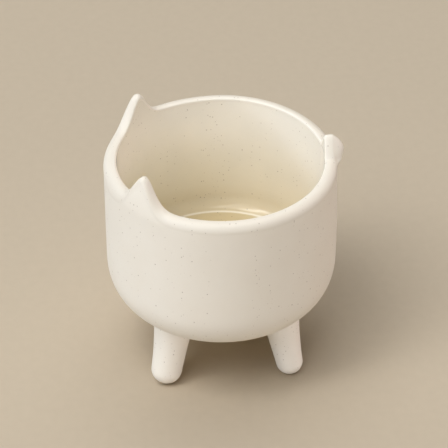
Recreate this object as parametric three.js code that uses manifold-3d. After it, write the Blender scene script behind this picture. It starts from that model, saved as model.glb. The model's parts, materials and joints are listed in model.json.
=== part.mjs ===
// Footed ceramic plant pot with two pointed ears, a stub tail and four splayed legs.
// Lengths are in millimetres and angles in degrees. +Z is up, the ears face -Y and the tail faces +Y.
// The origin is on the ground, under the axis of the bowl.

import * as THREE from 'three';
import { mergeVertices } from 'three/addons/utils/BufferGeometryUtils.js';
import Module from 'manifold-3d';

// Bowl: a straight cylinder inside, with a broad rounding under it outside
const BOWL_RADIUS = 55;
const BOWL_HEIGHT = 78.1;
const WALL_THICKNESS = 5.9;
const FLOOR_THICKNESS = 13;
const BASE_ROUNDING = 24.5;
const BASE_FULLNESS = 2.35;
const FLOOR_ROUNDING = 5;
const LIP_OUTER_ROUNDING = 3.6;

// Legs: round, flared out to the bowl, tapered down to a ball foot with a small flat under it
const LEG_HEIGHT = 30.8;
const LEG_SPLAY = 15;
const LEG_FLARE = 2;
const FOOT_CIRCLE_RADIUS = 41.8;
const FOOT_FLAT_RADIUS = 2.6;
const FRONT_LEG_SPREAD = 46;
const FRONT_LEG_TOP_RADIUS = 8.35;
const FRONT_FOOT_RADIUS = 7.45;
const BACK_LEG_SPREAD = 43;
const BACK_LEG_TOP_RADIUS = 8;
const BACK_FOOT_RADIUS = 6.5;

// Ears: straight sides, a rounded tip and a short run out onto the rim
const EAR_SPREAD = 42;
const EAR_HEIGHT = 14.7;
const EAR_HALF_WIDTH = 10.4;
const EAR_TIP_ROUNDING = 2.8;
const EAR_FACE_STEP = 0.25;
const EAR_TIP_THICKNESS = 2.6;
const EAR_LEAN = 2.2;

// Tail: a smaller peak on the rim, puffed out over the outside of the wall
const TAIL_HEIGHT = 9.2;
const TAIL_HALF_WIDTH = 7.5;
const TAIL_TIP_ROUNDING = 1.5;
const TAIL_FACE_STEP = 0.4;
const TAIL_TIP_THICKNESS = 3.8;
const TAIL_PUFF = 3;
const TAIL_DROP = 5.5;
const TAIL_SKIRT_THICKNESS = 0.7;

// How gently the ears and the tail run out onto the rim
const RUN_OUT = 2;

// Slip joint left open between the bowl and each piece stuck onto it
const JOINT_GAP = 0.3;

// Facets
const BOWL_SEGMENTS = 72;
const BASE_ROUNDING_STEPS = 8;
const LIP_STEPS = 5;
const FLOOR_ROUNDING_STEPS = 4;
const LEG_SEGMENTS = 24;
const LEG_STEPS = 8;
const FOOT_STEPS = 6;
const TAB_STEPS = 16;
const TAB_EDGE_STEPS = 6;

// Fired glaze, the same on every piece
const GLAZE_COLOUR = '#e9e2d6';
const GLAZE_ROUGHNESS = 0.35;
const GLAZE_METALNESS = 0;

// Places that follow from the sizes above
const baseHeight = LEG_HEIGHT;
const rimHeight = baseHeight + BOWL_HEIGHT;
const floorHeight = baseHeight + FLOOR_THICKNESS;
const innerRadius = BOWL_RADIUS - WALL_THICKNESS;
const wallMiddle = BOWL_RADIUS - WALL_THICKNESS / 2;
const crestRadius = BOWL_RADIUS - LIP_OUTER_ROUNDING;
const lipInnerRounding = WALL_THICKNESS - LIP_OUTER_ROUNDING;
const legSplay = THREE.MathUtils.degToRad(LEG_SPLAY);

const QUARTER_TURN = Math.PI / 2;
const FRONT_AZIMUTH = -90;
const BACK_AZIMUTH = 90;

const wasm = await Module();
wasm.setup();

// A three.js geometry as a solid that can be joined and cut
function solidFrom(geometry) {
  geometry.deleteAttribute('normal');
  geometry.deleteAttribute('uv');
  const merged = mergeVertices(geometry);
  const vertProperties = new Float32Array(merged.getAttribute('position').array);
  const triVerts = new Uint32Array(merged.getIndex().array);
  return new wasm.Manifold(new wasm.Mesh({ numProp: 3, vertProperties, triVerts }));
}

// A cut solid as a three.js geometry again
function geometryFrom(solid) {
  const mesh = solid.getMesh();
  const geometry = new THREE.BufferGeometry();
  geometry.setAttribute('position', new THREE.BufferAttribute(mesh.vertProperties, mesh.numProp));
  geometry.setIndex(new THREE.BufferAttribute(mesh.triVerts, 1));
  geometry.computeVertexNormals();
  return geometry;
}

// Points of a round arc in the plane of an outline
function arc(centreX, centreY, radius, from, to, steps) {
  const clockwise = to < from;
  return new THREE.EllipseCurve(centreX, centreY, radius, radius, from, to, clockwise).getPoints(steps);
}

// An outline turned about +Z
function turned(outline, segments) {
  return new THREE.LatheGeometry(outline, segments).rotateX(QUARTER_TURN);
}

// Rounding under the bowl, from its flat base to its straight wall, fuller than a quarter of a circle
function baseRounding(gap) {
  const points = [];
  for (let step = 0; step <= BASE_ROUNDING_STEPS; step += 1) {
    const angle = QUARTER_TURN * (1 - step / BASE_ROUNDING_STEPS);
    const outwards = (BASE_ROUNDING + gap) * Math.cos(angle) ** (2 / BASE_FULLNESS);
    const downwards = (BASE_ROUNDING + gap) * Math.sin(angle) ** (2 / BASE_FULLNESS);
    const radius = BOWL_RADIUS - BASE_ROUNDING + outwards;
    points.push(new THREE.Vector2(radius, baseHeight + BASE_ROUNDING - downwards));
  }
  return points;
}

// Outside of the bowl from the axis under its base up to the crest of the lip, moved outwards by a gap
function outsideOutline(gap) {
  const lipCentre = rimHeight - LIP_OUTER_ROUNDING;
  return [
    new THREE.Vector2(0, baseHeight - gap),
    ...baseRounding(gap),
    ...arc(crestRadius, lipCentre, LIP_OUTER_ROUNDING + gap, 0, QUARTER_TURN, LIP_STEPS),
  ];
}

// Inside of the bowl from the crest of the lip down to the axis on its floor, moved inwards by a gap
function insideOutline(gap) {
  const lipCentre = rimHeight - lipInnerRounding;
  const lip = arc(crestRadius, lipCentre, lipInnerRounding + gap, QUARTER_TURN, Math.PI, LIP_STEPS);
  const turnRadius = innerRadius - FLOOR_ROUNDING;
  const turnHeight = floorHeight + FLOOR_ROUNDING;
  const turn = arc(turnRadius, turnHeight, FLOOR_ROUNDING - gap, 0, -QUARTER_TURN, FLOOR_ROUNDING_STEPS);
  return [...lip.slice(1), ...turn, new THREE.Vector2(0, floorHeight + gap)];
}

// The hollow bowl, or the space that it takes up with a gap all round
function hollowBowl(gap) {
  return turned([...outsideOutline(gap), ...insideOutline(gap)], BOWL_SEGMENTS);
}

// The bowl filled to its brim, with a gap all round
function filledBowl(gap) {
  return turned([...outsideOutline(gap), new THREE.Vector2(0, rimHeight + gap)], BOWL_SEGMENTS);
}

// A block of ground with its top at height 0, under a leg and wider than its foot
function groundUnder(footRadius) {
  const reach = footRadius * 2;
  const block = new THREE.BoxGeometry(reach * 2, reach * 2, reach * 2);
  return block.translate(FOOT_CIRCLE_RADIUS, 0, -reach);
}

// A leg that stands on +X, splayed outwards, cut to the underside of the bowl and flat on the ground
function legGeometry(topRadius, footRadius) {
  const ballHeight = Math.sqrt(footRadius ** 2 - FOOT_FLAT_RADIUS ** 2);
  const lengthToBase = (baseHeight - ballHeight) / Math.cos(legSplay);
  const lengthIntoBowl = lengthToBase + BASE_ROUNDING;
  const flareAt = (along) => LEG_FLARE / 2 * (along / lengthToBase) ** 2;
  const outline = arc(0, 0, footRadius, -QUARTER_TURN, 0, FOOT_STEPS);
  for (let step = 1; step <= LEG_STEPS; step += 1) {
    const along = lengthIntoBowl * step / LEG_STEPS;
    const radius = THREE.MathUtils.lerp(footRadius, topRadius, along / lengthToBase);
    outline.push(new THREE.Vector2(radius + flareAt(along), along));
  }
  outline.push(new THREE.Vector2(0, lengthIntoBowl));
  const peg = turned(outline, LEG_SEGMENTS);
  const corners = peg.getAttribute('position');
  for (let corner = 0; corner < corners.count; corner += 1) {
    const along = Math.max(corners.getZ(corner), 0);
    corners.setX(corner, corners.getX(corner) + flareAt(along));
  }
  peg.rotateY(-legSplay).translate(FOOT_CIRCLE_RADIUS, 0, ballHeight);
  const leg = solidFrom(peg).subtract(solidFrom(filledBowl(JOINT_GAP)));
  return geometryFrom(leg.subtract(solidFrom(groundUnder(footRadius))));
}

// A closed skin over a row of outlines, each standing upright across the wall at its own azimuth
function skinOver(outlines, azimuths) {
  const count = outlines[0].length;
  const positions = outlines.flatMap((outline, row) => outline.flatMap((point) => [
    point.x * Math.cos(azimuths[row]),
    point.x * Math.sin(azimuths[row]),
    point.y,
  ]));
  const triangles = [];
  for (let row = 0; row + 1 < outlines.length; row += 1) {
    for (let corner = 0; corner < count; corner += 1) {
      const here = row * count + corner;
      const beside = row * count + (corner + 1) % count;
      triangles.push(here, beside, here + count);
      triangles.push(beside, beside + count, here + count);
    }
  }
  const lastRow = (outlines.length - 1) * count;
  for (const [a, b, c] of THREE.ShapeUtils.triangulateShape(outlines[0], [])) {
    triangles.push(a, b, c);
  }
  for (const [a, b, c] of THREE.ShapeUtils.triangulateShape(outlines.at(-1), [])) {
    triangles.push(lastRow + c, lastRow + b, lastRow + a);
  }
  const geometry = new THREE.BufferGeometry();
  geometry.setAttribute('position', new THREE.Float32BufferAttribute(positions, 3));
  geometry.setIndex(triangles);
  return geometry;
}

// A tab that stands on the rim over +X, reaching as far to each side, cut to the lip under it
function rimTabGeometry(reach, sectionAt) {
  const outlines = [];
  const azimuths = [];
  for (let step = 0; step <= TAB_STEPS; step += 1) {
    const along = THREE.MathUtils.lerp(-reach, reach, step / TAB_STEPS);
    outlines.push(sectionAt(along));
    azimuths.push(along / wallMiddle);
  }
  const tab = solidFrom(skinOver(outlines, azimuths));
  return geometryFrom(tab.subtract(solidFrom(hollowBowl(JOINT_GAP))));
}

// Height above the lip of a peak at a distance along the rim, with its tip and its feet rounded
function peakHeightAt(along, height, halfWidth, tipRounding) {
  const distance = Math.hypot(along, tipRounding) - tipRounding;
  const distanceToFoot = Math.hypot(halfWidth, tipRounding) - tipRounding;
  const straight = height * (1 - distance / distanceToFoot);
  return (straight + Math.hypot(straight, RUN_OUT)) / 2;
}

// Section across an ear, from its inner foot over its rounded edge to its outer foot
function earSection(along) {
  const height = peakHeightAt(along, EAR_HEIGHT, EAR_HALF_WIDTH, EAR_TIP_ROUNDING);
  const share = height / EAR_HEIGHT;
  const baseHalf = WALL_THICKNESS / 2 - EAR_FACE_STEP;
  const topHalf = THREE.MathUtils.lerp(baseHalf, EAR_TIP_THICKNESS / 2, share);
  const topMiddle = wallMiddle - EAR_LEAN * share;
  const foot = rimHeight - LIP_OUTER_ROUNDING;
  return [
    new THREE.Vector2(wallMiddle - baseHalf, foot),
    ...arc(topMiddle, rimHeight + height - topHalf, topHalf, Math.PI, 0, TAB_EDGE_STEPS),
    new THREE.Vector2(wallMiddle + baseHalf, foot),
  ];
}

// Section across the tail, from its inner foot over its rounded edge and down its puffed outer face
function tailSection(along) {
  const height = peakHeightAt(along, TAIL_HEIGHT, TAIL_HALF_WIDTH, TAIL_TIP_ROUNDING);
  const share = height / TAIL_HEIGHT;
  const baseHalf = WALL_THICKNESS / 2 - TAIL_FACE_STEP;
  const half = THREE.MathUtils.lerp(baseHalf, TAIL_TIP_THICKNESS / 2, share);
  const shoulder = new THREE.Vector2(wallMiddle + half, rimHeight + height - half);
  const skirtRadius = BOWL_RADIUS + JOINT_GAP + TAIL_SKIRT_THICKNESS;
  const skirtDrop = THREE.MathUtils.lerp(LIP_OUTER_ROUNDING, TAIL_DROP, share);
  const skirt = new THREE.Vector2(skirtRadius, rimHeight - skirtDrop);
  const middleOfFace = shoulder.clone().add(skirt).divideScalar(2);
  const puffedRadius = skirtRadius + (TAIL_PUFF - TAIL_SKIRT_THICKNESS) * share;
  const puffed = new THREE.Vector2(puffedRadius, middleOfFace.y);
  const handle = puffed.multiplyScalar(2).sub(middleOfFace);
  const face = new THREE.QuadraticBezierCurve(shoulder, handle, skirt).getPoints(TAB_EDGE_STEPS);
  return [
    new THREE.Vector2(wallMiddle - baseHalf, rimHeight - LIP_OUTER_ROUNDING),
    ...arc(wallMiddle, shoulder.y, half, Math.PI, 0, TAB_EDGE_STEPS),
    ...face.slice(1),
    new THREE.Vector2(wallMiddle, skirt.y),
  ];
}

const pot = new THREE.Group();

// A piece of the pot, turned about +Z from +X to its azimuth
function addPiece(name, geometry, azimuth) {
  const glaze = new THREE.MeshStandardMaterial({
    color: GLAZE_COLOUR,
    roughness: GLAZE_ROUGHNESS,
    metalness: GLAZE_METALNESS,
  });
  const piece = new THREE.Mesh(geometry, glaze);
  piece.name = name;
  piece.rotation.z = THREE.MathUtils.degToRad(azimuth);
  pot.add(piece);
}

addPiece('bowl', hollowBowl(0), 0);

const earGeometry = rimTabGeometry(EAR_HALF_WIDTH, earSection);
addPiece('ear_left', earGeometry, FRONT_AZIMUTH + EAR_SPREAD);
addPiece('ear_right', earGeometry, FRONT_AZIMUTH - EAR_SPREAD);

addPiece('tail', rimTabGeometry(TAIL_HALF_WIDTH, tailSection), BACK_AZIMUTH);

const frontLegGeometry = legGeometry(FRONT_LEG_TOP_RADIUS, FRONT_FOOT_RADIUS);
addPiece('leg_front_left', frontLegGeometry, FRONT_AZIMUTH + FRONT_LEG_SPREAD);
addPiece('leg_front_right', frontLegGeometry, FRONT_AZIMUTH - FRONT_LEG_SPREAD);

const backLegGeometry = legGeometry(BACK_LEG_TOP_RADIUS, BACK_FOOT_RADIUS);
addPiece('leg_back_left', backLegGeometry, BACK_AZIMUTH - BACK_LEG_SPREAD);
addPiece('leg_back_right', backLegGeometry, BACK_AZIMUTH + BACK_LEG_SPREAD);

export default pot;
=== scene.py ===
# %% [markdown]
# # A stoneware plant pot with ears, a tail and four legs
#
# The real pot is a bowl thrown on a wheel. While the clay is still damp, two ears, a stub tail and four
# legs are stuck on with slip, and one coat of cream glaze melts over all of it in the kiln. This lesson
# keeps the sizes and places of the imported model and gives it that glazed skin: surfaces worked out with
# numpy, one glaze made of shader nodes, a plain floor, soft light and a camera.

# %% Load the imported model
import json
import math

import bpy
import numpy as np
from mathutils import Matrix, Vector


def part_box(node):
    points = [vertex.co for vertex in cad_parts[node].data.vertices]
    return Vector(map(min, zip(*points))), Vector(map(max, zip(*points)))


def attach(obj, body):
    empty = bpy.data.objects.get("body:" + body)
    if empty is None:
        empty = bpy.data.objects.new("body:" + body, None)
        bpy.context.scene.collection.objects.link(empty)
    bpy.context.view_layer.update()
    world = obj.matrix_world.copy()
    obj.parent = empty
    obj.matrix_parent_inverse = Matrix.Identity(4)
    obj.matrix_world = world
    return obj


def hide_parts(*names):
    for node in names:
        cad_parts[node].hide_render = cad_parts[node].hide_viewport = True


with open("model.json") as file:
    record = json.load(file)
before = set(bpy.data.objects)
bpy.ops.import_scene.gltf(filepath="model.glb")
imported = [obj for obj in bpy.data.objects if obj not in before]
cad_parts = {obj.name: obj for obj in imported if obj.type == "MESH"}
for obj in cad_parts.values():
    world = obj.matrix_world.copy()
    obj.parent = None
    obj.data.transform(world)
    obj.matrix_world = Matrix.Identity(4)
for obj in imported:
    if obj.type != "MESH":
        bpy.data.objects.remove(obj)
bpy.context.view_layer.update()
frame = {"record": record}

# Lengths are in metres, and most of them are written in millimetres.
MM = 0.001


# %% [markdown]
# ## Sizes
#
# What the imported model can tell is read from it: the radius and the heights come from the boxes of its
# nodes, and the feet and the floor of the bowl from its mounts. Curves that a box can't tell, such as the
# rounding of the lip, are written as real sizes where they are first needed.

# %% Sizes of the pot
WALL_THICKNESS = 5.9 * MM
bowl_low, bowl_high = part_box("bowl")
bowl_radius = (bowl_high.x - bowl_low.x) / 2
inner_radius = bowl_radius - WALL_THICKNESS
wall_middle = bowl_radius - WALL_THICKNESS / 2
base_height = bowl_low.z
rim_height = bowl_high.z
ear_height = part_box("ear_left")[1].z - rim_height
tail_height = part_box("tail")[1].z - rim_height
mounts = {mount["name"]: np.array(mount["pos_m"]) for mount in frame["record"]["mounts"]}
floor_height = mounts["inner_floor"][2]
print(f"Bowl {2 * bowl_radius / MM:.1f} mm across, rim {rim_height / MM:.1f} mm above the ground")

# %% [markdown]
# ## A skin from a grid
#
# A wheel makes round things, so nearly every piece here is a grid that closes on itself one way: rows run
# along a section, columns run round an axis. The first and the last row are drawn together into single
# points, the poles, so that each mesh is a closed skin. Its quads are listed so that they face outwards.
# Blender can spin a section with a modifier too, but this rim rises and falls on its way round, so every
# column needs a section of its own.

# %% Make a mesh from a grid of points
def closed_skin(name, rows, first_pole, last_pole):
    """A mesh from points[row, column, xyz]: columns join up in a ring, and each end row closes on a pole."""
    row_count, column_count, _ = rows.shape
    corner = np.arange(row_count * column_count).reshape(row_count, column_count)
    beside = np.roll(corner, -1, axis=1)
    quads = np.stack([corner[:-1], beside[:-1], beside[1:], corner[1:]], axis=-1).reshape(-1, 4)
    first = np.full(column_count, corner.size)
    last = first + 1
    first_fan = np.stack([first, beside[0], corner[0]], axis=-1)
    last_fan = np.stack([corner[-1], beside[-1], last], axis=-1)
    points = np.concatenate([rows.reshape(-1, 3), [first_pole, last_pole]])
    mesh = bpy.data.meshes.new(name)
    mesh.from_pydata(points.tolist(), [], quads.tolist() + first_fan.tolist() + last_fan.tolist())
    mesh.polygons.foreach_set("use_smooth", np.ones(len(mesh.polygons), bool))
    piece = bpy.data.objects.new(name, mesh)
    bpy.context.scene.collection.objects.link(piece)
    print(f"{name}: {len(mesh.polygons)} faces")
    return piece


# %% [markdown]
# ## Places along the rim
#
# The ears and the tail stand on the rim, so their places are azimuths, turns round the pot's axis. The
# front of the pot faces minus Y, with an ear to each side of it, and the tail is at the back. Widths along
# the rim are lengths, so a turn is made into a length at the middle of the wall.

# %% Azimuths of the ears and the tail
FRONT = math.radians(-90)
BACK = math.radians(90)
EAR_LEFT_SPREAD = math.radians(41.3)
EAR_RIGHT_SPREAD = math.radians(42.7)
ear_azimuths = [FRONT + EAR_LEFT_SPREAD, FRONT - EAR_RIGHT_SPREAD]


def turn_from(azimuths, middle):
    """Turn from one azimuth to others, brought within half a turn to each side."""
    return (azimuths - middle + math.pi) % (2 * math.pi) - math.pi


def along_rim(azimuths, middle):
    """Arc length along the middle of the rim from one azimuth to others: the radius times the turn."""
    return wall_middle * turn_from(azimuths, middle)


print("Ears at azimuths", [round(math.degrees(middle), 1) for middle in ear_azimuths])

# %% [markdown]
# ## Columns where they are needed
#
# The rim is plain for most of the way round and bends tightly at the ears and the tail. So the columns of
# the grid stand close together there and far apart elsewhere: a density is added up round the pot, and
# the columns are placed at equal steps of that sum.

# %% Azimuths of the columns
COLUMNS = 576
FINE_STEPS = 7201
EXTRA_DENSITY = 3.5
DENSE_REACH = 13 * MM
# A bell curve of the fourth power has a flat top and steep edges.
DENSE_EDGE = 4
fine_azimuth = np.linspace(-math.pi, math.pi, FINE_STEPS)
density = np.ones_like(fine_azimuth)
for middle in ear_azimuths + [BACK]:
    reach = along_rim(fine_azimuth, middle) / DENSE_REACH
    density += EXTRA_DENSITY * np.exp(-(reach**DENSE_EDGE))
travelled = np.concatenate([[0], np.cumsum((density[1:] + density[:-1]) / 2)])
column_place = np.linspace(0, travelled[-1], COLUMNS, endpoint=False)
azimuth = np.interp(column_place, travelled, fine_azimuth)
column_gap = np.degrees(np.diff(azimuth))
print(f"{COLUMNS} columns, {column_gap.min():.2f} to {column_gap.max():.2f} degrees apart")

# %% [markdown]
# ## Ears and tail
#
# An ear is a triangle of clay pinched up from the rim. Its height is a function of the distance along the
# rim: two straight sides that meet in a rounded tip. A hyperbola gives the tip, since it is round near its
# top and straight far from it. Where the sides reach the rim they run out in a soft curve, for which the
# softplus function is used: it follows the side above the rim and fades to nothing below it. One side of
# each ear was wiped out further along the rim than the other. The tail is a smaller peak of the same kind.
# Ears could be meshes of their own, but a lift of the rim keeps them in one skin, as one glaze does.

# %% Height of the ears and the tail along the rim
EAR_HALF_WIDTH = 9 * MM
EAR_TIP_ROUNDING = 3.5 * MM
EAR_SHORT_RUN_OUT = 4.8 * MM
EAR_LONG_RUN_OUT = 5.5 * MM
EAR_RUN_OUT_CHANGE = 3 * MM
# The run-outs lift the whole ear a little, so its peak starts lower by this much.
EAR_RUN_OUT_LIFT = 0.65 * MM
TAIL_HALF_WIDTH = 7.2 * MM
TAIL_TIP_ROUNDING = 2.6 * MM
TAIL_RUN_OUT = 0.8 * MM
TAIL_RISE = 1.2 * MM


def between(start, end, share):
    """A value that lies a share of the way from start to end."""
    return start + (end - start) * share


def peak(along, height, half_width, tip_rounding, run_out):
    """Softplus of a hyperbola that is height at its tip and crosses zero at half_width to each side."""
    fall = np.hypot(along, tip_rounding) - tip_rounding
    fall_at_foot = math.hypot(half_width, tip_rounding) - tip_rounding
    side = height * (1 - fall / fall_at_foot)
    return run_out * np.logaddexp(0, side / run_out)


def ear(middle):
    """Lift of the rim by one ear: a peak whose run-out grows across the tip along a tanh curve."""
    along = along_rim(azimuth, middle)
    long_share = (1 + np.tanh(along / EAR_RUN_OUT_CHANGE)) / 2
    run_out = between(EAR_SHORT_RUN_OUT, EAR_LONG_RUN_OUT, long_share)
    return peak(along, ear_height - EAR_RUN_OUT_LIFT, EAR_HALF_WIDTH, EAR_TIP_ROUNDING, run_out)


ear_lift = sum(ear(middle) for middle in ear_azimuths)
ear_share = np.clip(ear_lift / ear_height, 0, 1)
tail_along = along_rim(azimuth, BACK)
tail_lift = peak(tail_along, tail_height, TAIL_HALF_WIDTH, TAIL_TIP_ROUNDING, TAIL_RUN_OUT)
tail_edge = 1 - np.exp(-tail_lift / TAIL_RISE)
top = rim_height + ear_lift + tail_lift
print(f"Tallest point {top.max() / MM:.1f} mm above the ground")

# %% [markdown]
# ## One section for wall, lip, ear and tail
#
# Above the lip the faces of an ear lean inwards and grow thinner, like a sheet of clay that was bent a
# little. How far a face has moved depends on its height alone, so the ear stays a smooth sheet, and the
# peak's outline only trims it. The tail is upright instead. It stands on the rim as on a ledge, nearly
# flush with the inside of the wall, and a ball of clay is pressed on its outer side.

# %% Faces of the wall above the lip
LIP_OUTER_ROUNDING = 3.6 * MM
LIP_INNER_ROUNDING = 0.9 * MM
LEAN_START = 4 * MM
LEAN_CURVE = 1.4
EAR_OUTER_LEAN = 3.05 * MM
EAR_INNER_LEAN = 0.95 * MM
TAIL_OUTER_LEDGE = 2.3 * MM
TAIL_INNER_STEP = 0.2 * MM
TAIL_BALL = 5.6 * MM
TAIL_BALL_BELOW = 3.4 * MM
TAIL_BALL_MIDDLE = 0.66
TAIL_BALL_HALF_WIDTH = 7 * MM
TAIL_BLEND_START = 13 * MM
TAIL_BLEND_WIDTH = 6 * MM
away_from_tail = np.clip((np.abs(tail_along) - TAIL_BLEND_START) / TAIL_BLEND_WIDTH, 0, 1)


def smooth_step(share):
    """A cubic that rises from 0 to 1 and is level at both ends."""
    share = np.clip(share, 0, 1)
    return share**2 * (3 - 2 * share)


def ear_lean(height):
    """Share of an ear's lean at a height: a power curve from just under the lip to the ear's tip."""
    start = rim_height - LEAN_START
    return away_from_tail * np.clip((height - start) / (ear_height + LEAN_START), 0, None) ** LEAN_CURVE


def ledge(height, drop):
    """Share of the step from the wall to the tail: a smooth step over the height of the lip's rounding."""
    return tail_edge * smooth_step((height - rim_height) / drop + 1)


def tail_ball(height):
    """How far the ball stands out: a parabola along the rim times one from the tail's top down."""
    depth = np.clip((top - height) / (tail_lift + TAIL_BALL_BELOW), 0, 1)
    above = (TAIL_BALL_MIDDLE - depth) / TAIL_BALL_MIDDLE
    below = (depth - TAIL_BALL_MIDDLE) / (1 - TAIL_BALL_MIDDLE)
    along_share = np.clip(1 - (tail_along / TAIL_BALL_HALF_WIDTH) ** 2, 0, 1)
    return TAIL_BALL * (1 - np.maximum(above, below) ** 2) * along_share


def outer_face(height):
    """Radius of the outer face: the wall less an ear's lean or the tail's ledge, plus the tail's ball."""
    inwards = EAR_OUTER_LEAN * ear_lean(height) + TAIL_OUTER_LEDGE * ledge(height, LIP_OUTER_ROUNDING)
    return bowl_radius - inwards + tail_ball(height)


def inner_face(height):
    """Radius of the inner face: the inside of the wall less an ear's lean or the tail's small step."""
    inwards = EAR_INNER_LEAN * ear_lean(height) + TAIL_INNER_STEP * ledge(height, LIP_INNER_ROUNDING)
    return inner_radius - inwards


print(f"At the rim the tail's ball stands {tail_ball(rim_height).max() / MM:.1f} mm out")

# %% [markdown]
# ## A rounded top edge
#
# The top edge of every section is a rounded cap: two quarter ellipses, one down to each face, that meet in
# a crest. A sponge never rounds a lip evenly. On the pot's left side the crest lies near the middle of the
# lip, on its right side nearer the inside, and between the front and the left ear the outer edge was wiped
# softer. A bevel would give one radius all round, so the cap's sizes are worked out for each column. It is
# sheared along with the faces, so that it meets them without a crease.

# %% Sizes of the cap
EAR_TIP_ROUND = 2 * MM
TAIL_OUTER_ROUND = 0.4 * MM
TAIL_INNER_ROUND = 1.2 * MM
LEFT_OUTER_SHARE = 0.53
RIGHT_OUTER_SHARE = 0.77
LEFT_SIDE_EDGE = 0.6
EAR_OUTER_SHARE = 0.5
TAIL_OUTER_SHARE = 0.25
SOFT_LIP_ROUNDING = 7 * MM
SOFT_LIP_MIDDLE = math.radians(-72)
SOFT_LIP_HALF_WIDTH = math.radians(14)
SLOPE_STEP = 0.01 * MM


def bell(distance, half_width):
    """A bell curve: e to the power of less the square of the distance in half widths."""
    return np.exp(-((distance / half_width) ** 2))


def along_the_top(lip, ear_tip, tail_tip):
    """A value for each column: the lip's, changed towards an ear's or the tail's at its tip."""
    return lip + (ear_tip - lip) * ear_share + (tail_tip - lip) * tail_edge


def slope(face, height):
    """How far a face leans inwards for each step upwards: the difference of two radii over the step."""
    return (face(height) - face(height + SLOPE_STEP)) / SLOPE_STEP


soft_lip = bell(turn_from(azimuth, SOFT_LIP_MIDDLE), SOFT_LIP_HALF_WIDTH)
lip_outer_rounding = between(LIP_OUTER_ROUNDING, SOFT_LIP_ROUNDING, soft_lip)
outer_cap = along_the_top(lip_outer_rounding, EAR_TIP_ROUND, TAIL_OUTER_ROUND)
inner_cap = along_the_top(LIP_INNER_ROUNDING, EAR_TIP_ROUND, TAIL_INNER_ROUND)
outer_start = top - outer_cap
inner_end = top - inner_cap
outer_shear = slope(outer_face, outer_start)
inner_shear = slope(inner_face, inner_end)
outer_edge = outer_face(outer_start) - outer_shear * outer_cap
inner_edge = inner_face(inner_end) - inner_shear * inner_cap
cap_width = outer_edge - inner_edge
left_side = smooth_step(np.cos(azimuth) / LEFT_SIDE_EDGE)
lip_outer_share = between(RIGHT_OUTER_SHARE, LEFT_OUTER_SHARE, left_side)
outer_width = cap_width * along_the_top(lip_outer_share, EAR_OUTER_SHARE, TAIL_OUTER_SHARE)
inner_width = cap_width - outer_width
print(f"Lip {cap_width.max() / MM:.1f} mm thick, thinnest tip {cap_width.min() / MM:.1f} mm")

# %% Points of the cap
CAP_ROWS = 13
ELLIPSE = 2
TAIL_CAP_FULLNESS = 4


def cap(start_radius, width, height, shear, fullness, angle):
    """Points of a quarter superellipse that starts upright at start_radius, sheared by its face's lean."""
    across = 1 - np.cos(angle) ** (ELLIPSE / fullness)
    upwards = np.sin(angle) ** (ELLIPSE / fullness) * height
    return start_radius + width * across - shear * upwards, upwards


quarter = np.linspace(0, math.pi / 2, CAP_ROWS)[:, None]
outer_fullness = along_the_top(ELLIPSE, ELLIPSE, TAIL_CAP_FULLNESS)
outer_cap_radius, outer_cap_rise = cap(
    outer_face(outer_start), -outer_width, outer_cap, outer_shear, outer_fullness, quarter
)
inner_cap_radius, inner_cap_rise = cap(
    inner_face(inner_end), inner_width, inner_cap, inner_shear, ELLIPSE, quarter[::-1][1:]
)
print(f"{len(outer_cap_radius) + len(inner_cap_radius)} rows over the cap")

# %% [markdown]
# ## The whole section of the bowl
#
# The section now runs from the middle of the underside, round the belly, up the wall, over the cap and
# down the inside to the middle of the floor. The belly is a quarter of a superellipse, a little fuller than
# a circle, as a thrown belly is that was pressed from inside. The floor turns into the wall in a plain arc.

# %% Rows of the section
BELLY_ROUNDING = 24.5 * MM
BELLY_FULLNESS = 2.35
FLOOR_ROUNDING = 7 * MM
FACE_START = 9 * MM
BELLY_ROWS = 40
WALL_ROWS = 8
OUTER_FACE_ROWS = 20
INNER_FACE_ROWS = 32
FLOOR_TURN_ROWS = 24
DISC_ROWS = 4


def steps(start, end, count):
    """Values from start to end in equal steps, one row for each step and one column for each azimuth."""
    share_of_way = np.linspace(0, 1, count)[:, None]
    return between(start, end, share_of_way) + np.zeros(COLUMNS)


flat_radius = bowl_radius - BELLY_ROUNDING
belly_angle = steps(0, math.pi / 2, BELLY_ROWS)
face_base = rim_height - FACE_START
outer_face_height = steps(face_base, outer_start, OUTER_FACE_ROWS)[:-1]
inner_face_height = steps(inner_end, face_base, INNER_FACE_ROWS)[1:]
floor_turn = steps(0, math.pi / 2, FLOOR_TURN_ROWS)
turn_radius = inner_radius - FLOOR_ROUNDING
turn_height = floor_height + FLOOR_ROUNDING

section_radius = np.concatenate([
    steps(flat_radius / DISC_ROWS, flat_radius, DISC_ROWS)[:-1],
    flat_radius + BELLY_ROUNDING * np.sin(belly_angle) ** (ELLIPSE / BELLY_FULLNESS),
    steps(bowl_radius, bowl_radius, WALL_ROWS)[1:-1],
    outer_face(outer_face_height),
    outer_cap_radius,
    inner_cap_radius,
    inner_face(inner_face_height),
    steps(inner_radius, inner_radius, WALL_ROWS)[1:-1],
    turn_radius + FLOOR_ROUNDING * np.cos(floor_turn),
    steps(turn_radius, turn_radius / DISC_ROWS, DISC_ROWS)[1:],
])
section_height = np.concatenate([
    steps(base_height, base_height, DISC_ROWS)[:-1],
    base_height + BELLY_ROUNDING * (1 - np.cos(belly_angle) ** (ELLIPSE / BELLY_FULLNESS)),
    steps(base_height + BELLY_ROUNDING, face_base, WALL_ROWS)[1:-1],
    outer_face_height,
    outer_start + outer_cap_rise,
    inner_end + inner_cap_rise,
    inner_face_height,
    steps(face_base, turn_height, WALL_ROWS)[1:-1],
    turn_height - FLOOR_ROUNDING * np.sin(floor_turn),
    steps(floor_height, floor_height, DISC_ROWS)[1:],
])
print(f"{len(section_radius)} rows in the section")

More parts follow.
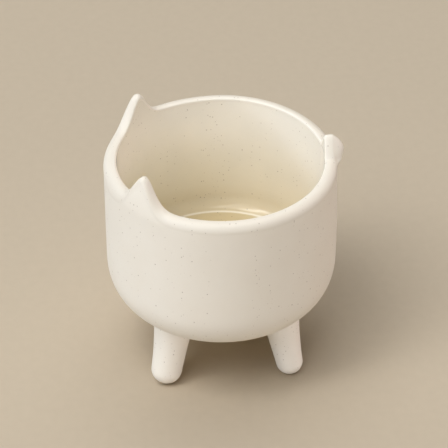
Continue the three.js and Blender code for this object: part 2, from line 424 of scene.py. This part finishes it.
# %% [markdown]
# ## Dents and skin
#
# A thrown bowl is never quite true. This one is pressed in a little where the tail was stuck on, and once
# more on its right side. A dent is a bell curve round the pot that fades out down the wall. It could be
# pressed in with a sculpting brush, but a formula gives the same dent each time. The section, carried
# round the axis, is then the whole skin of the bowl with its ears and tail.

# %% Dents in the rim
TAIL_DENT = (math.radians(100), math.radians(45), 0.85 * MM)
SIDE_DENT = (math.radians(189), math.radians(14), 0.5 * MM)
DENT_TOP = 5 * MM
DENT_BOTTOM = 35 * MM


def dent(middle, half_width, depth):
    """How far the rim is pressed in at each column: a bell curve of the azimuth."""
    return depth * bell(turn_from(azimuth, middle), half_width)


pressed_in = dent(*TAIL_DENT) + dent(*SIDE_DENT)
fade = smooth_step((section_height - rim_height + DENT_BOTTOM) / (DENT_BOTTOM - DENT_TOP))
section_radius -= pressed_in * fade
print(f"Rim pressed in by up to {pressed_in.max() / MM:.2f} mm")

# %% Skin of the bowl with its ears and tail
body_points = np.stack([
    section_radius * np.cos(azimuth),
    section_radius * np.sin(azimuth),
    section_height,
], axis=-1)
glazed_body = closed_skin("glazed_body", body_points, (0, 0, base_height), (0, 0, floor_height))
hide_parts("bowl", "ear_left", "ear_right", "tail")

# %% [markdown]
# ## Legs
#
# Each leg is a roll of clay with a ball foot, leaning out from under the belly. It is a circle carried
# along a slanted path: the radius grows a little upwards, and near the top the outer side flares out to
# the belly. The top ring has to lie on the belly, so the place where each line of the leg meets it is
# found by halving an interval, for all the lines at once. A small quadratic curve then turns each line
# onto the belly, as a wiped slip joint does. A tube along a curve would be quicker, but it would run into
# the belly with a hard edge.

# %% Points of a leg
LEG_SPLAY = math.radians(15)
LEG_FLARE = 2 * MM
FOOT_FLAT_RADIUS = 2.6 * MM
JOINT_ROUNDING = 1.4 * MM
JOINT_SINK = 0.1 * MM
LEG_COLUMNS = 72
FOOT_ROWS = 16
SHAFT_ROWS = 24
JOINT_ROWS = 8
HALVINGS = 40


def belly_height(radius):
    """Height of the belly's underside at a radius: a superellipse outside the flat base."""
    outwards = np.clip((radius - flat_radius) / BELLY_ROUNDING, 0, 1)
    return base_height + BELLY_ROUNDING * (1 - (1 - outwards**BELLY_FULLNESS) ** (1 / BELLY_FULLNESS))


def leg_rows(foot_mount, foot_radius, top_radius):
    """Rows of a leg, a circle carried along a slanted line from a ball to the belly, and its two poles."""
    leg_azimuth = math.atan2(foot_mount[1], foot_mount[0])
    ball_height = math.sqrt(foot_radius**2 - FOOT_FLAT_RADIUS**2)
    length = (base_height - ball_height) / math.cos(LEG_SPLAY)
    foot = np.array([foot_mount[0], foot_mount[1], ball_height])
    outwards = np.array([math.cos(leg_azimuth), math.sin(leg_azimuth), 0])
    sideways = np.array([-math.sin(leg_azimuth), math.cos(leg_azimuth), 0])
    upwards = np.array([0, 0, 1])
    path = math.cos(LEG_SPLAY) * upwards - math.sin(LEG_SPLAY) * outwards
    across = math.cos(LEG_SPLAY) * outwards + math.sin(LEG_SPLAY) * upwards
    turn = np.linspace(0, 2 * math.pi, LEG_COLUMNS, endpoint=False)

    def at(along):
        """Points at a distance along the path: a circle whose radius and place both take up the flare."""
        flare = LEG_FLARE / 2 * (np.maximum(along, 0) / length) ** 2
        tapered = between(foot_radius, top_radius, along / length)
        ball = np.sqrt(np.maximum(foot_radius**2 - along**2, 0))
        radius = np.where(along < 0, ball, tapered) + flare
        return (
            foot
            + along[..., None] * path
            + (radius * np.cos(turn) + flare)[..., None] * across
            + (radius * np.sin(turn))[..., None] * sideways
        )

    low = np.zeros(LEG_COLUMNS)
    high = np.full(LEG_COLUMNS, length + BELLY_ROUNDING)
    for _ in range(HALVINGS):
        middle = (low + high) / 2
        points = at(middle)
        outside = points[:, 2] < belly_height(np.hypot(points[:, 0], points[:, 1]))
        low = np.where(outside, middle, low)
        high = np.where(outside, high, middle)

    ball_angle = np.linspace(-math.pi / 2, 0, FOOT_ROWS + 1)[1:-1, None]
    ball_rows = at(foot_radius * np.sin(ball_angle) + np.zeros(LEG_COLUMNS))
    shaft_share = np.linspace(0, 1, SHAFT_ROWS)[:, None]
    shaft_rows = at(shaft_share * (low - JOINT_ROUNDING))
    joint = at(low)
    away = joint - (foot + low[:, None] * path)
    away[:, 2] = 0
    spread = joint + JOINT_ROUNDING * away / np.linalg.norm(away, axis=1, keepdims=True)
    spread[:, 2] = belly_height(np.hypot(spread[:, 0], spread[:, 1])) + JOINT_SINK
    bend = np.linspace(0, 1, JOINT_ROWS)[1:, None, None]
    joint_rows = (1 - bend) ** 2 * shaft_rows[-1] + 2 * bend * (1 - bend) * joint + bend**2 * spread
    rows = np.concatenate([ball_rows, shaft_rows, joint_rows])
    rows[..., 2] = np.maximum(rows[..., 2], 0)
    foot_pole = np.array([foot[0], foot[1], 0])
    return rows, foot_pole, foot + (length + JOINT_ROUNDING) * path


# %% The four legs
FRONT_LEG_RADII = (7.45 * MM, 8.35 * MM)
BACK_LEG_RADII = (6.5 * MM, 8 * MM)
legs = []
for side in ("left", "right"):
    for end, radii in (("front", FRONT_LEG_RADII), ("back", BACK_LEG_RADII)):
        rows, foot_pole, top_pole = leg_rows(mounts[f"foot_{end}_{side}"], *radii)
        leg = closed_skin(f"glazed_leg_{end}_{side}", rows, foot_pole, top_pole)
        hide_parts(f"leg_{end}_{side}")
        legs.append(leg)
pot = [glazed_body] + legs

# %% [markdown]
# ## Colours and nodes
#
# Colours are written as sRGB hex values, as a colour picker shows them, and one function turns them to
# the linear values that the renderer wants. Another small function adds a node, sets it up and links it.

# %% Helpers for materials
def linear(hex_colour):
    """Linear RGBA of an sRGB hex colour: each channel is undone by the sRGB curve."""
    channels = [int(hex_colour[place:place + 2], 16) / 255 for place in (1, 3, 5)]
    return [c / 12.92 if c <= 0.04045 else ((c + 0.055) / 1.055) ** 2.4 for c in channels] + [1]


def add(tree, kind, inputs=(), **settings):
    """A new node: settings go to its properties, inputs to its sockets as values or as links."""
    made = tree.nodes.new(kind)
    for name, value in settings.items():
        setattr(made, name, value)
    for socket, value in dict(inputs).items():
        if isinstance(value, bpy.types.NodeSocket):
            tree.links.new(value, made.inputs[socket])
        else:
            made.inputs[socket].default_value = value
    return made


# %% [markdown]
# ## The glaze
#
# A stoneware glaze over a speckled clay: iron grains in the clay burn through the cream glaze as brown
# specks, mostly well under a millimetre across. The coat is unevenly mottled. Painted light makes it whiter
# inside the bowl, painted shade makes it darker on the up-facing lip, and painted shade makes it darker and
# yellower deep in the bowl.
# Outside it is satin, and inside it is glossy. The specks are a Voronoi pattern: each cell has one grain,
# a random number of the cell sets its size, and four cells in ten have none. A picture of real glaze could
# be laid over the pot instead, but it would stretch on the rounded forms.

# %% Colour of the coat
# The inside's whiter coat is painted light that brightens the inside of the bowl.
GLAZE_LIT_INSIDE = "#fdf7e8"
GLAZE_CREAM = "#f5f0e3"
GLAZE_THIN = "#f1eadb"
# The lip's darker coat is painted shade that tones down its up-facing crest.
GLAZE_LIP_SHADE = "#e7e0d1"
# The darker, yellower coat deep in the bowl is painted shade.
GLAZE_BOWL_SHADE = "#d6c6a1"
MOTTLE_SIZE = 16 * MM
MOTTLE_DETAIL = 3


def uneven_coat(tree, place, painted):
    """A mottled cream, then painted light inside and painted shade on the lip and deep in the bowl."""
    mottle = add(tree, "ShaderNodeTexNoise", {
        "Vector": place,
        "Scale": 1 / MOTTLE_SIZE,
        "Detail": MOTTLE_DETAIL,
    })
    # Outside a cream mottle; inside a whiter one, which is painted light.
    outside_coat, lit_inside_coat = [
        add(tree, "ShaderNodeMix", {
            "Factor": mottle.outputs["Fac"],
            "A": linear(paler_tone),
            "B": linear(deeper_tone),
        }, data_type="RGBA").outputs["Result"]
        for paler_tone, deeper_tone in ((GLAZE_CREAM, GLAZE_THIN), (GLAZE_LIT_INSIDE, GLAZE_CREAM))
    ]
    coat = outside_coat
    # Then painted light inside, and painted shade on the lip and deep in the bowl.
    layers = {"inside": lit_inside_coat, "lip_painted_shade": linear(GLAZE_LIP_SHADE), "bowl_painted_shade": linear(GLAZE_BOWL_SHADE)}
    for name, layer in layers.items():
        coat = add(tree, "ShaderNodeMix", {
            "Factor": painted[name],
            "A": coat,
            "B": layer,
        }, data_type="RGBA").outputs["Result"]
    return coat


# %% Specks in the coat
SPECK_CELL = 1.8 * MM
LARGEST_SPECK_RADIUS = 0.5 * MM
SPECK_SHARE = 0.6
SPECK_STRENGTH = 0.7


def speck_strength(tree, place):
    """Strength of the brown at a point: a smooth fall from a grain's middle to its own random radius."""
    cells = add(tree, "ShaderNodeTexVoronoi", {"Vector": place, "Scale": 1 / SPECK_CELL})
    chance = add(tree, "ShaderNodeSeparateColor", {"Color": cells.outputs["Color"]})
    speck_radius = add(tree, "ShaderNodeMapRange", {
        "Value": chance.outputs["Red"],
        "From Min": 1 - SPECK_SHARE,
        "From Max": 1,
        "To Min": 0,
        "To Max": LARGEST_SPECK_RADIUS / SPECK_CELL,
    })
    return add(tree, "ShaderNodeMapRange", {
        "Value": cells.outputs["Distance"],
        "From Min": 0,
        "From Max": speck_radius.outputs["Result"],
        "To Min": SPECK_STRENGTH,
        "To Max": 0,
    }, interpolation_type="SMOOTHSTEP").outputs["Result"]


# %% Cream stoneware glaze
SPECK_BROWN = "#836c50"
GLAZE_IOR = 1.5
OUTSIDE_ROUGHNESS = 0.6
INSIDE_ROUGHNESS = 0.06
DIMPLE_SIZE = 2.5 * MM
DIMPLE_DEPTH = 0.02 * MM


def stoneware_glaze():
    """Speckled coat whose roughness falls from the outside to the inside, with fine dimples as bump."""
    # Melted glaze on speckled clay gives a milky cream with small brown dots, a soft sheen and a wet inside.
    material = bpy.data.materials.new("cream_stoneware_glaze")
    material.use_nodes = True
    tree = material.node_tree
    tree.nodes.clear()
    place = add(tree, "ShaderNodeTexCoord").outputs["Object"]
    painted = {
        name: add(tree, "ShaderNodeAttribute", attribute_name=name).outputs["Fac"]
        for name in ("inside", "lip_painted_shade", "bowl_painted_shade")
    }
    speckled = add(tree, "ShaderNodeMix", {
        "Factor": speck_strength(tree, place),
        "A": uneven_coat(tree, place, painted),
        "B": linear(SPECK_BROWN),
    }, data_type="RGBA")
    roughness = add(tree, "ShaderNodeMapRange", {
        "Value": painted["inside"],
        "To Min": OUTSIDE_ROUGHNESS,
        "To Max": INSIDE_ROUGHNESS,
    })
    dimples = add(tree, "ShaderNodeTexNoise", {"Vector": place, "Scale": 1 / DIMPLE_SIZE})
    bump = add(tree, "ShaderNodeBump", {"Height": dimples.outputs["Fac"], "Distance": DIMPLE_DEPTH})
    shader = add(tree, "ShaderNodeBsdfPrincipled", {
        "Base Color": speckled.outputs["Result"],
        "Roughness": roughness.outputs["Result"],
        "IOR": GLAZE_IOR,
        "Normal": bump.outputs["Normal"],
    })
    add(tree, "ShaderNodeOutputMaterial", {"Surface": shader.outputs["BSDF"]})
    return material


# %% [markdown]
# ## Where painted light and shade go on the coat
#
# A material can't know by itself where the lip or the bowl's floor is. So each point of the body carries
# three numbers that the glaze reads by their names: whether it is inside, where it is glossy and has painted
# light, how near it is to the crest of the lip, where painted shade darkens it, and how deep it lies in the
# bowl, where painted shade darkens and yellows it. They follow from the rows of the section. Where the floor
# turns up into the wall, the painted shade leaves out a fine pale ring, a painted highlight. The legs carry
# none of them, so they get the outside's coat.

# %% Numbers for the glaze
INSIDE_BLEND_ROWS = 6
# How steeply the painted shade deep in the bowl grows with depth.
BOWL_SHADE_POWER = 7
# The pale ring left out of the painted shade is a painted highlight where the floor turns up.
HIGHLIGHT_RING_RADIUS = 44.2 * MM
HIGHLIGHT_RING_WIDTH = 0.5 * MM
rows_below_lip = len(inner_face_height) + WALL_ROWS + FLOOR_TURN_ROWS + DISC_ROWS
first_inside_row = len(section_radius) - rows_below_lip
lip_middle = first_inside_row - CAP_ROWS
row_number = np.arange(len(section_radius))[:, None] + np.zeros(COLUMNS)
lip_share = np.clip(1 - np.abs(row_number - lip_middle) / CAP_ROWS, 0, 1)
# Painted shade on the lip, strongest at its crest.
lip_painted_shade = np.sin(lip_share * math.pi / 2)
inside = np.clip((row_number - first_inside_row) / INSIDE_BLEND_ROWS, 0, 1)
depth_share = np.clip((rim_height - section_height) / (rim_height - floor_height), 0, 1)
# A ring of painted highlight where the floor turns up into the wall.
painted_highlight_ring = bell(section_radius - HIGHLIGHT_RING_RADIUS, HIGHLIGHT_RING_WIDTH)
# Painted shade deep in the bowl, leaving out the ring of painted highlight.
bowl_painted_shade = inside * depth_share**BOWL_SHADE_POWER * (1 - painted_highlight_ring)
for name, values, at_floor_pole in (("lip_painted_shade", lip_painted_shade, 0), ("inside", inside, 1), ("bowl_painted_shade", bowl_painted_shade, 1)):
    attribute = glazed_body.data.attributes.new(name, "FLOAT", "POINT")
    attribute.data.foreach_set("value", np.concatenate([values.ravel(), [0, at_floor_pole]]))
    print(f"{name}: {values.mean():.2f} on average")

# %% Glaze the pot
glaze = stoneware_glaze()
for piece in pot:
    piece.data.materials.append(glaze)
    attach(piece, "root")
print("Glazed:", [piece.name for piece in pot])

# %% [markdown]
# ## Floor
#
# The pot stands on a plain beige sheet of backdrop paper that reaches past the edges of the picture, so it
# is one large flat face. Paper is matt, and its pressed fibres give it a faint cloudy grain: two beiges
# close to each other, mixed by a noise pattern.

# %% Floor
FLOOR_HALF_SIDE = 3
floor_mesh = bpy.data.meshes.new("floor")
floor_corners = [
    (x * FLOOR_HALF_SIDE, y * FLOOR_HALF_SIDE, 0) for x, y in ((-1, -1), (1, -1), (1, 1), (-1, 1))
]
floor_mesh.from_pydata(floor_corners, [], [(0, 1, 2, 3)])
floor = bpy.data.objects.new("floor", floor_mesh)
bpy.context.scene.collection.objects.link(floor)
print("Floor", 2 * FLOOR_HALF_SIDE, "m wide")

# %% Backdrop paper
PAPER_BEIGE = "#d9cbb6"
PAPER_SHADE = "#d3c5b0"
PAPER_ROUGHNESS = 0.9
PAPER_SPECULAR = 0.1
# Real fibres are far under a millimetre, too fine for this picture, so the grain is drawn coarser.
PAPER_GRAIN = 5 * MM
PAPER_DETAIL = 4


def backdrop_paper():
    """Two beiges mixed by a noise pattern, with a high roughness and little reflection."""
    # Uncoated paper gives an even matt beige without a sheen, faintly cloudy from its fibres.
    material = bpy.data.materials.new("beige_backdrop_paper")
    material.use_nodes = True
    tree = material.node_tree
    tree.nodes.clear()
    place = add(tree, "ShaderNodeTexCoord").outputs["Object"]
    grain = add(tree, "ShaderNodeTexNoise", {
        "Vector": place,
        "Scale": 1 / PAPER_GRAIN,
        "Detail": PAPER_DETAIL,
    })
    beige = add(tree, "ShaderNodeMix", {
        "Factor": grain.outputs["Fac"],
        "A": linear(PAPER_BEIGE),
        "B": linear(PAPER_SHADE),
    }, data_type="RGBA")
    matt = add(tree, "ShaderNodeBsdfPrincipled", {
        "Base Color": beige.outputs["Result"],
        "Roughness": PAPER_ROUGHNESS,
        "Specular IOR Level": PAPER_SPECULAR,
    })
    add(tree, "ShaderNodeOutputMaterial", {"Surface": matt.outputs["BSDF"]})
    return material


floor_mesh.materials.append(backdrop_paper())
print("Paper with a grain of", PAPER_GRAIN / MM, "mm")

# %% [markdown]
# ## Camera
#
# The camera looks down at the pot's left side from about a metre away through a long lens, with the ears
# to the left and the tail to the right. Its place is worked out from the middle of the rim: back along the
# line of sight, up, and a small step sideways.

# %% Camera
CAMERA_TURN = math.radians(84.95)
CAMERA_DISTANCE = 1000 * MM
SIGHT_ELEVATION = math.radians(35.262)
CAMERA_PITCH = math.radians(37.061)
CAMERA_SIDESTEP = 1.3 * MM
# Focal length in millimetres, where Blender's sensor is 36 mm wide.
CAMERA_LENS = 172.4
seen_right = np.array([math.cos(CAMERA_TURN), math.sin(CAMERA_TURN), 0])
seen_away = np.array([-math.sin(CAMERA_TURN), math.cos(CAMERA_TURN), 0])
seen_up = np.array([0, 0, 1])
rim_centre = rim_height * seen_up
camera_place = (
    rim_centre
    - CAMERA_DISTANCE * math.cos(SIGHT_ELEVATION) * seen_away
    + CAMERA_DISTANCE * math.sin(SIGHT_ELEVATION) * seen_up
    + CAMERA_SIDESTEP * seen_right
)
camera_data = bpy.data.cameras.new("camera")
camera_data.lens = CAMERA_LENS
camera = bpy.data.objects.new("camera", camera_data)
camera.location = camera_place
camera.rotation_euler = (math.pi / 2 - CAMERA_PITCH, 0, CAMERA_TURN)
bpy.context.scene.collection.objects.link(camera)
bpy.context.scene.camera = camera
print("Camera at, mm:", np.round(camera_place / MM))

# %% [markdown]
# ## Light
#
# The light is soft, as beside a large window. A wide ceiling light, a soft box behind the pot and a window
# at the left light the whole scene, and a brighter pane of the window shows as a gloss inside the bowl.
# A front soft box and four low cards brighten the upright wall, cool on the left and warm on the right,
# and one more card the legs. In a studio, strips of black card would keep such light off the table, so that
# the shadow under the belly stays dark. Light linking does the same here: these lights reach only the
# pieces in a collection, the pot or its legs.

# %% A soft light
LIGHT_DISTANCE = 6


def soft_light(name, turn, elevation, size, power, colour):
    """An area light on a sphere round the pot, facing its foot.

    Its turn is counted from the right of the picture to its back, and its elevation from the ground.
    """
    data = bpy.data.lights.new(name, "AREA")
    data.shape = "RECTANGLE"
    data.size, data.size_y = size
    data.energy = power
    data.color = linear(colour)[:3]
    light = bpy.data.objects.new(name, data)
    level = math.cos(math.radians(turn)) * seen_right + math.sin(math.radians(turn)) * seen_away
    tilt = math.radians(elevation)
    light.location = LIGHT_DISTANCE * (math.cos(tilt) * level + math.sin(tilt) * seen_up)
    light.rotation_euler = (math.pi / 2 - tilt, 0, math.atan2(level[1], level[0]) + math.pi / 2)
    bpy.context.scene.collection.objects.link(light)
    print(f"{name}: {power} W")
    return light


def reach_only(lights, pieces, collection_name):
    """Links lights to a new collection of pieces, so that they light nothing else."""
    receivers = bpy.data.collections.new(collection_name)
    for piece in pieces:
        receivers.objects.link(piece)
    for light in lights:
        light.light_linking.receiver_collection = receivers


# %% Lights
CEILING = (8, 8)
SOFT_BOX = (5, 5)
PANE = (1.2, 3.4)
CARD = (4, 1.5)
WHITE = "#fffefc"
soft_light("ceiling", turn=0, elevation=89, size=CEILING, power=66, colour=WHITE)
soft_light("back_soft_box", turn=90, elevation=60, size=SOFT_BOX, power=103, colour=WHITE)
soft_light("window", turn=225, elevation=60, size=SOFT_BOX, power=160, colour=WHITE)
soft_light("window_pane", turn=211, elevation=60, size=PANE, power=74, colour=WHITE)
pot_lights = [
    soft_light("front_soft_box", turn=315, elevation=60, size=SOFT_BOX, power=39, colour=WHITE),
    soft_light("left_card", turn=185, elevation=20, size=CARD, power=133, colour="#deeaff"),
    soft_light("left_front_card", turn=245, elevation=20, size=CARD, power=61, colour="#e2ecff"),
    soft_light("front_card", turn=305, elevation=20, size=CARD, power=60, colour="#fff6f8"),
    soft_light("right_card", turn=25, elevation=20, size=CARD, power=81, colour="#ffeaec"),
]
leg_card = soft_light("leg_card", turn=325, elevation=10, size=CARD, power=42, colour="#fff4fa")
reach_only(pot_lights, pot, "pot_pieces")
reach_only([leg_card], legs, "leg_pieces")
# Cycles' light tree makes linked lights too bright here, and ten lights don't need it.
bpy.context.scene.cycles.use_light_tree = False

# %% [markdown]
# ## Room
#
# The walls of a pale room send a little warm light back from every side. The world does that here, weakly
# enough for the shadow under the belly to stay dark. The plain view transform shows colours as they are
# written.

# %% World
ROOM_COLOUR = "#ffe9cc"
ROOM_STRENGTH = 0.01
world = bpy.data.worlds.new("pale_room")
world.use_nodes = True
background = world.node_tree.nodes["Background"]
background.inputs["Color"].default_value = linear(ROOM_COLOUR)
background.inputs["Strength"].default_value = ROOM_STRENGTH
bpy.context.scene.world = world
bpy.context.scene.view_settings.view_transform = "Standard"
print("Room light of strength", ROOM_STRENGTH)
